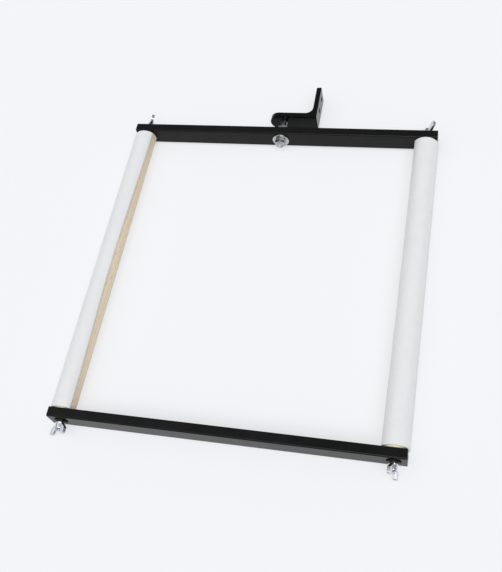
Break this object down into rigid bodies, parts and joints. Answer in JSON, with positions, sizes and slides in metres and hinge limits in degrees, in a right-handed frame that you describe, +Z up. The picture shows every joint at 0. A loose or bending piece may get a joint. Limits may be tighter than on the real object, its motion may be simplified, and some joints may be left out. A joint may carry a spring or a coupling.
{
  "type": "screen printing frame",
  "caption": "Rectangular fabric stretching frame: two tube crossbars, two round rails with split clamp sleeves, wing nuts and a swivelling angle bracket.",
  "frame": {"origin": "bottom centre of the whole frame as it lies on its two sleeves", "axes": "+X to the right along the crossbars, +Y from the front crossbar to the rear one and its bracket, +Z up"},
  "size_m": [0.4104, 0.514, 0.0317],
  "materials": {
    "bar_paint": "satin black powder coat",
    "bracket_paint": "semi-gloss black paint",
    "plug_plastic": "black moulded plastic",
    "core_wood": "sanded light hardwood dowel",
    "sleeve_plastic": "white extruded vinyl",
    "zinc": "bright zinc plate",
    "washer_black": "black oxide"
  },
  "bodies": {
    "frame": {"front_crossbar": "bar_paint", "rear_crossbar": "bar_paint", "front_left_end_plug": "plug_plastic", "front_right_end_plug": "plug_plastic", "rear_left_end_plug": "plug_plastic", "rear_right_end_plug": "plug_plastic"},
    "left_rail": {"left_rail_core": "core_wood", "front_left_stud": "zinc", "rear_left_stud": "zinc"},
    "left_sleeve": {"left_clamp_sleeve": "sleeve_plastic"},
    "front_left_washer": {"front_left_washer": "washer_black"},
    "front_left_wing_nut": {"front_left_wing_nut": "zinc"},
    "rear_left_washer": {"rear_left_washer": "washer_black"},
    "rear_left_wing_nut": {"rear_left_wing_nut": "zinc"},
    "right_rail": {"right_rail_core": "core_wood", "front_right_stud": "zinc", "rear_right_stud": "zinc"},
    "right_sleeve": {"right_clamp_sleeve": "sleeve_plastic"},
    "front_right_washer": {"front_right_washer": "washer_black"},
    "front_right_wing_nut": {"front_right_wing_nut": "zinc"},
    "rear_right_washer": {"rear_right_washer": "washer_black"},
    "rear_right_wing_nut": {"rear_right_wing_nut": "zinc"},
    "bracket": {"mounting_bracket": "bracket_paint", "pivot_bolt": "zinc"},
    "pivot_inner_washer": {"pivot_inner_washer": "zinc"},
    "pivot_inner_nut": {"pivot_inner_nut": "zinc"},
    "pivot_outer_washer": {"pivot_outer_washer": "zinc"},
    "pivot_outer_nut": {"pivot_outer_nut": "zinc"}
  },
  "joints": [
    {"name": "left_rail_turn", "type": "hinge", "parent": "frame", "child": "left_rail", "pos_m": [-0.1893, 0, 0.01588], "axis": [0, 1, 0], "continuous": true},
    {"name": "left_sleeve_turn", "type": "hinge", "parent": "left_rail", "child": "left_sleeve", "pos_m": [-0.1893, 0, 0.01588], "axis": [0, 1, 0], "continuous": true},
    {"name": "front_left_washer_slide", "type": "slide", "parent": "left_rail", "child": "front_left_washer", "axis": [0, -1, 0], "range_m": [0, 0.00635]},
    {"name": "front_left_wing_nut_turn", "type": "hinge", "parent": "front_left_washer", "child": "front_left_wing_nut", "pos_m": [-0.1893, -0.2403, 0.01588], "axis": [0, -1, 0], "range_deg": [0, 1800]},
    {"name": "rear_left_washer_slide", "type": "slide", "parent": "left_rail", "child": "rear_left_washer", "axis": [0, 1, 0], "range_m": [0, 0.00635]},
    {"name": "rear_left_wing_nut_turn", "type": "hinge", "parent": "rear_left_washer", "child": "rear_left_wing_nut", "pos_m": [-0.1893, 0.1887, 0.01588], "axis": [0, 1, 0], "range_deg": [0, 1800]},
    {"name": "right_rail_turn", "type": "hinge", "parent": "frame", "child": "right_rail", "pos_m": [0.1893, 0, 0.01588], "axis": [0, 1, 0], "continuous": true},
    {"name": "right_sleeve_turn", "type": "hinge", "parent": "right_rail", "child": "right_sleeve", "pos_m": [0.1893, 0, 0.01588], "axis": [0, 1, 0], "continuous": true},
    {"name": "front_right_washer_slide", "type": "slide", "parent": "right_rail", "child": "front_right_washer", "axis": [0, -1, 0], "range_m": [0, 0.00635]},
    {"name": "front_right_wing_nut_turn", "type": "hinge", "parent": "front_right_washer", "child": "front_right_wing_nut", "pos_m": [0.1893, -0.2403, 0.01588], "axis": [0, -1, 0], "range_deg": [0, 1800]},
    {"name": "rear_right_washer_slide", "type": "slide", "parent": "right_rail", "child": "rear_right_washer", "axis": [0, 1, 0], "range_m": [0, 0.00635]},
    {"name": "rear_right_wing_nut_turn", "type": "hinge", "parent": "rear_right_washer", "child": "rear_right_wing_nut", "pos_m": [0.1893, 0.1887, 0.01588], "axis": [0, 1, 0], "range_deg": [0, 1800]},
    {"name": "bracket_swivel", "type": "hinge", "parent": "frame", "child": "bracket", "pos_m": [0, 0.1887, 0.01588], "axis": [0, 1, 0], "continuous": true},
    {"name": "pivot_inner_washer_slide", "type": "slide", "parent": "bracket", "child": "pivot_inner_washer", "axis": [0, -1, 0], "range_m": [0, 0.00423]},
    {"name": "pivot_inner_nut_turn", "type": "hinge", "parent": "pivot_inner_washer", "child": "pivot_inner_nut", "pos_m": [0, 0.1767, 0.01588], "axis": [0, -1, 0], "range_deg": [0, 1080]},
    {"name": "pivot_outer_washer_slide", "type": "slide", "parent": "bracket", "child": "pivot_outer_washer", "axis": [0, 1, 0], "range_m": [0, 0.00706]},
    {"name": "pivot_outer_nut_turn", "type": "hinge", "parent": "pivot_outer_washer", "child": "pivot_outer_nut", "pos_m": [0, 0.1887, 0.01588], "axis": [0, 1, 0], "range_deg": [0, 1800]}
  ],
  "couplings": [
    {"joint": "front_left_washer_slide", "follows": "front_left_wing_nut_turn", "m_per_rad": 0.00020213},
    {"joint": "rear_left_washer_slide", "follows": "rear_left_wing_nut_turn", "m_per_rad": 0.00020213},
    {"joint": "front_right_washer_slide", "follows": "front_right_wing_nut_turn", "m_per_rad": 0.00020213},
    {"joint": "rear_right_washer_slide", "follows": "rear_right_wing_nut_turn", "m_per_rad": 0.00020213},
    {"joint": "pivot_inner_washer_slide", "follows": "pivot_inner_nut_turn", "m_per_rad": 0.00022458},
    {"joint": "pivot_outer_washer_slide", "follows": "pivot_outer_nut_turn", "m_per_rad": 0.00022458}
  ]
}
